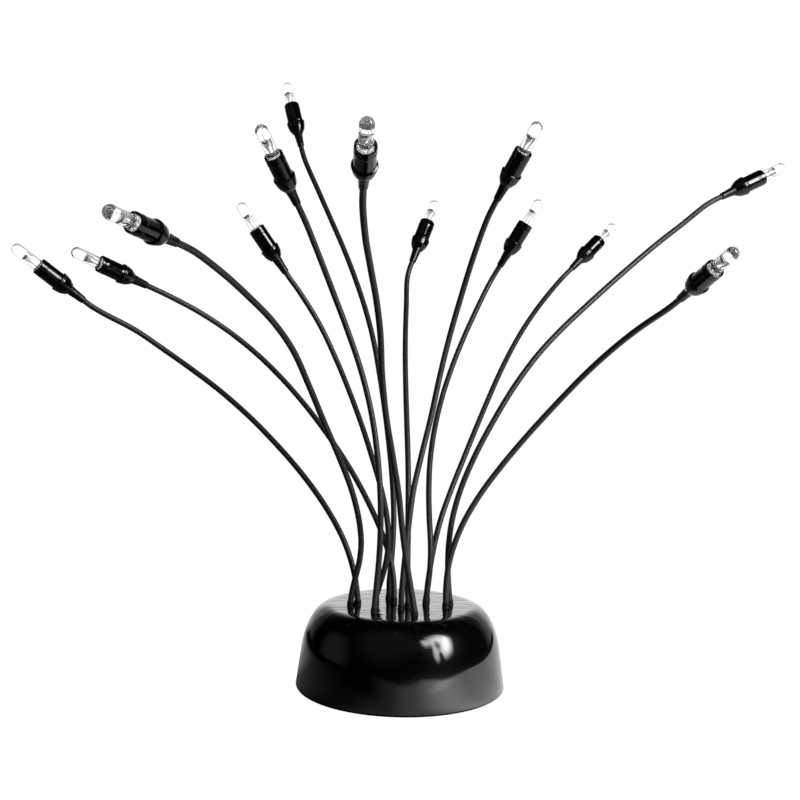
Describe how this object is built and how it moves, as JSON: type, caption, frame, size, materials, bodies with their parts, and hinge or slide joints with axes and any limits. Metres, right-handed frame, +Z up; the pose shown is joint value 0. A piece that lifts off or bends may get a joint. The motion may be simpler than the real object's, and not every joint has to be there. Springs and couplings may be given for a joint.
{
  "type": "pond light",
  "caption": "Round gloss-black base with a spray of thin bendable stems, each ending in a small black holder with a clear bullet lens.",
  "frame": {"origin": "centre of the flat underside of the foot pad, on the axis of the round base", "axes": "+Z up, +X along the widest spread of the stems, -Y to the front"},
  "size_m": [0.3491, 0.2627, 0.2763],
  "materials": {
    "gloss_black": "polished moulded plastic",
    "stem_sleeve": "satin sleeve",
    "holder_black": "glossy moulded plastic",
    "lens_clear": "clear, polished",
    "black_rubber": "matt",
    "matt_black": "fine texture",
    "cast_weight": "as cast",
    "board_green": "solder mask",
    "screw_steel": "zinc plated"
  },
  "bodies": {
    "base": {"base_shell": "gloss_black", "stem_seal": "black_rubber", "base_plate": "matt_black", "foot_pad": "black_rubber", "ballast_weight": "cast_weight", "circuit_board": "board_green", "centre_screw": "screw_steel", "cable_gland": "black_rubber"},
    "arm_01_lower": {"stem_01_lower": "stem_sleeve"},
    "arm_01_upper": {"stem_01_upper": "stem_sleeve", "holder_01": "holder_black", "led_01": "lens_clear"},
    "arm_02_lower": {"stem_02_lower": "stem_sleeve"},
    "arm_02_upper": {"stem_02_upper": "stem_sleeve", "holder_02": "holder_black", "led_02": "lens_clear"},
    "arm_03_lower": {"stem_03_lower": "stem_sleeve"},
    "arm_03_upper": {"stem_03_upper": "stem_sleeve", "holder_03": "holder_black", "led_03": "lens_clear"},
    "arm_04_lower": {"stem_04_lower": "stem_sleeve"},
    "arm_04_upper": {"stem_04_upper": "stem_sleeve", "holder_04": "holder_black", "led_04": "lens_clear"},
    "arm_05_lower": {"stem_05_lower": "stem_sleeve"},
    "arm_05_upper": {"stem_05_upper": "stem_sleeve", "holder_05": "holder_black", "led_05": "lens_clear"},
    "arm_06_lower": {"stem_06_lower": "stem_sleeve"},
    "arm_06_upper": {"stem_06_upper": "stem_sleeve", "holder_06": "holder_black", "led_06": "lens_clear"},
    "arm_07_lower": {"stem_07_lower": "stem_sleeve"},
    "arm_07_upper": {"stem_07_upper": "stem_sleeve", "holder_07": "holder_black", "led_07": "lens_clear"},
    "arm_08_lower": {"stem_08_lower": "stem_sleeve"},
    "arm_08_upper": {"stem_08_upper": "stem_sleeve", "holder_08": "holder_black", "led_08": "lens_clear"},
    "arm_09_lower": {"stem_09_lower": "stem_sleeve"},
    "arm_09_upper": {"stem_09_upper": "stem_sleeve", "holder_09": "holder_black", "led_09": "lens_clear"},
    "arm_10_lower": {"stem_10_lower": "stem_sleeve"},
    "arm_10_upper": {"stem_10_upper": "stem_sleeve", "holder_10": "holder_black", "led_10": "lens_clear"},
    "arm_11_lower": {"stem_11_lower": "stem_sleeve"},
    "arm_11_upper": {"stem_11_upper": "stem_sleeve", "holder_11": "holder_black", "led_11": "lens_clear"},
    "arm_12_lower": {"stem_12_lower": "stem_sleeve"},
    "arm_12_upper": {"stem_12_upper": "stem_sleeve", "holder_12": "holder_black", "led_12": "lens_clear"},
    "arm_13_lower": {"stem_13_lower": "stem_sleeve"},
    "arm_13_upper": {"stem_13_upper": "stem_sleeve", "holder_13": "holder_black", "led_13": "lens_clear"}
  },
  "joints": [
    {"name": "stem_01_lean", "type": "hinge", "parent": "base", "child": "arm_01_lower", "pos_m": [-0.0184, -0.0016, 0.0365], "axis": [-0.0606, -0.9982, 0], "range_deg": [-1.5, 15]},
    {"name": "stem_01_bend", "type": "hinge", "parent": "arm_01_lower", "child": "arm_01_upper", "pos_m": [-0.06152, 0.02434, 0.1042], "axis": [0.6632, -0.0403, 0.7474], "range_deg": [-18.5, 20]},
    {"name": "stem_02_lean", "type": "hinge", "parent": "base", "child": "arm_02_lower", "pos_m": [-0.0032, 0.0038, 0.0365], "axis": [-0.0327, -0.9995, 0], "range_deg": [-3, 3]},
    {"name": "stem_02_bend", "type": "hinge", "parent": "arm_02_lower", "child": "arm_02_upper", "pos_m": [-0.03916, 0.03613, 0.10875], "axis": [0.7554, -0.0247, 0.6548], "range_deg": [-17, 20]},
    {"name": "stem_03_lean", "type": "hinge", "parent": "base", "child": "arm_03_lower", "pos_m": [-0.0212, -0.0053, 0.0365], "axis": [0.8512, -0.5248, 0], "range_deg": [-5.5, 15]},
    {"name": "stem_03_bend", "type": "hinge", "parent": "arm_03_lower", "child": "arm_03_upper", "pos_m": [-0.03489, -0.02075, 0.11775], "axis": [0.4403, 0.7141, 0.5442], "range_deg": [-18.5, 20]},
    {"name": "stem_04_lean", "type": "hinge", "parent": "base", "child": "arm_04_lower", "pos_m": [-0.0109, 0.0041, 0.0365], "axis": [-0.4638, -0.8859, 0], "range_deg": [-5, 5]},
    {"name": "stem_04_bend", "type": "hinge", "parent": "arm_04_lower", "child": "arm_04_upper", "pos_m": [-0.01713, 0.03026, 0.10228], "axis": [0.7503, -0.3928, 0.5318], "range_deg": [-20, 20]},
    {"name": "stem_05_lean", "type": "hinge", "parent": "base", "child": "arm_05_lower", "pos_m": [-0.011, -0.0155, 0.0365], "axis": [0.619, -0.7854, 0], "range_deg": [-10, 15]},
    {"name": "stem_05_bend", "type": "hinge", "parent": "arm_05_lower", "child": "arm_05_upper", "pos_m": [-0.01387, -0.00535, 0.11477], "axis": [0.7798, 0.6146, 0.1193], "range_deg": [-20, 20]},
    {"name": "stem_06_lean", "type": "hinge", "parent": "base", "child": "arm_06_lower", "pos_m": [-0.0053, 0.0093, 0.0365], "axis": [-0.8571, -0.5151, 0], "range_deg": [-2, 15]},
    {"name": "stem_06_bend", "type": "hinge", "parent": "arm_06_lower", "child": "arm_06_upper", "pos_m": [-0.01293, 0.04039, 0.13687], "axis": [0.4586, -0.763, 0.4555], "range_deg": [-17, 20]},
    {"name": "stem_07_lean", "type": "hinge", "parent": "base", "child": "arm_07_lower", "pos_m": [0.0053, -0.0201, 0.0365], "axis": [0.9854, -0.1705, 0], "range_deg": [-10, 15]},
    {"name": "stem_07_bend", "type": "hinge", "parent": "arm_07_lower", "child": "arm_07_upper", "pos_m": [-0.00818, -0.0306, 0.12034], "axis": [0.159, 0.9188, 0.3614], "range_deg": [-20, 20]},
    {"name": "stem_08_lean", "type": "hinge", "parent": "base", "child": "arm_08_lower", "pos_m": [0.0028, -0.0049, 0.0365], "axis": [-0.9941, 0.1085, 0], "range_deg": [-9, 15]},
    {"name": "stem_08_bend", "type": "hinge", "parent": "arm_08_lower", "child": "arm_08_upper", "pos_m": [0.00102, 0.02523, 0.1089], "axis": [-0.0899, -0.8238, 0.5597], "range_deg": [-18, 20]},
    {"name": "stem_09_lean", "type": "hinge", "parent": "base", "child": "arm_09_lower", "pos_m": [-0.0001, -0.0098, 0.0365], "axis": [0.2425, 0.9702, 0], "range_deg": [-10, 15]},
    {"name": "stem_09_bend", "type": "hinge", "parent": "arm_09_lower", "child": "arm_09_upper", "pos_m": [0.01145, 0.00658, 0.11522], "axis": [-0.9599, 0.2399, 0.1452], "range_deg": [-20, 20]},
    {"name": "stem_10_lean", "type": "hinge", "parent": "base", "child": "arm_10_lower", "pos_m": [0.0104, 0.0001, 0.0365], "axis": [-0.8232, 0.5678, 0], "range_deg": [-10, 9]},
    {"name": "stem_10_bend", "type": "hinge", "parent": "arm_10_lower", "child": "arm_10_upper", "pos_m": [0.01396, 0.03354, 0.10874], "axis": [-0.4537, -0.6577, 0.6014], "range_deg": [-20, 20]},
    {"name": "stem_11_lean", "type": "hinge", "parent": "base", "child": "arm_11_lower", "pos_m": [0.0108, 0.0084, 0.0365], "axis": [-0.7776, 0.6288, 0], "range_deg": [-10, 15]},
    {"name": "stem_11_bend", "type": "hinge", "parent": "arm_11_lower", "child": "arm_11_upper", "pos_m": [0.03674, 0.0489, 0.11511], "axis": [-0.4421, -0.5467, 0.7111], "range_deg": [-20, 20]},
    {"name": "stem_12_lean", "type": "hinge", "parent": "base", "child": "arm_12_lower", "pos_m": [0.0205, 0.001, 0.0365], "axis": [-0.4126, 0.9109, 0], "range_deg": [-10, 15]},
    {"name": "stem_12_bend", "type": "hinge", "parent": "arm_12_lower", "child": "arm_12_upper", "pos_m": [0.05512, 0.01573, 0.13836], "axis": [-0.6759, -0.3062, 0.6704], "range_deg": [-20, 20]},
    {"name": "stem_13_lean", "type": "hinge", "parent": "base", "child": "arm_13_lower", "pos_m": [0.0186, -0.0041, 0.0365], "axis": [0.5684, 0.8228, 0], "range_deg": [-3, 15]},
    {"name": "stem_13_bend", "type": "hinge", "parent": "arm_13_lower", "child": "arm_13_upper", "pos_m": [0.05125, 0.0026, 0.10609], "axis": [-0.6781, 0.4685, 0.5663], "range_deg": [-20, 20]}
  ]
}
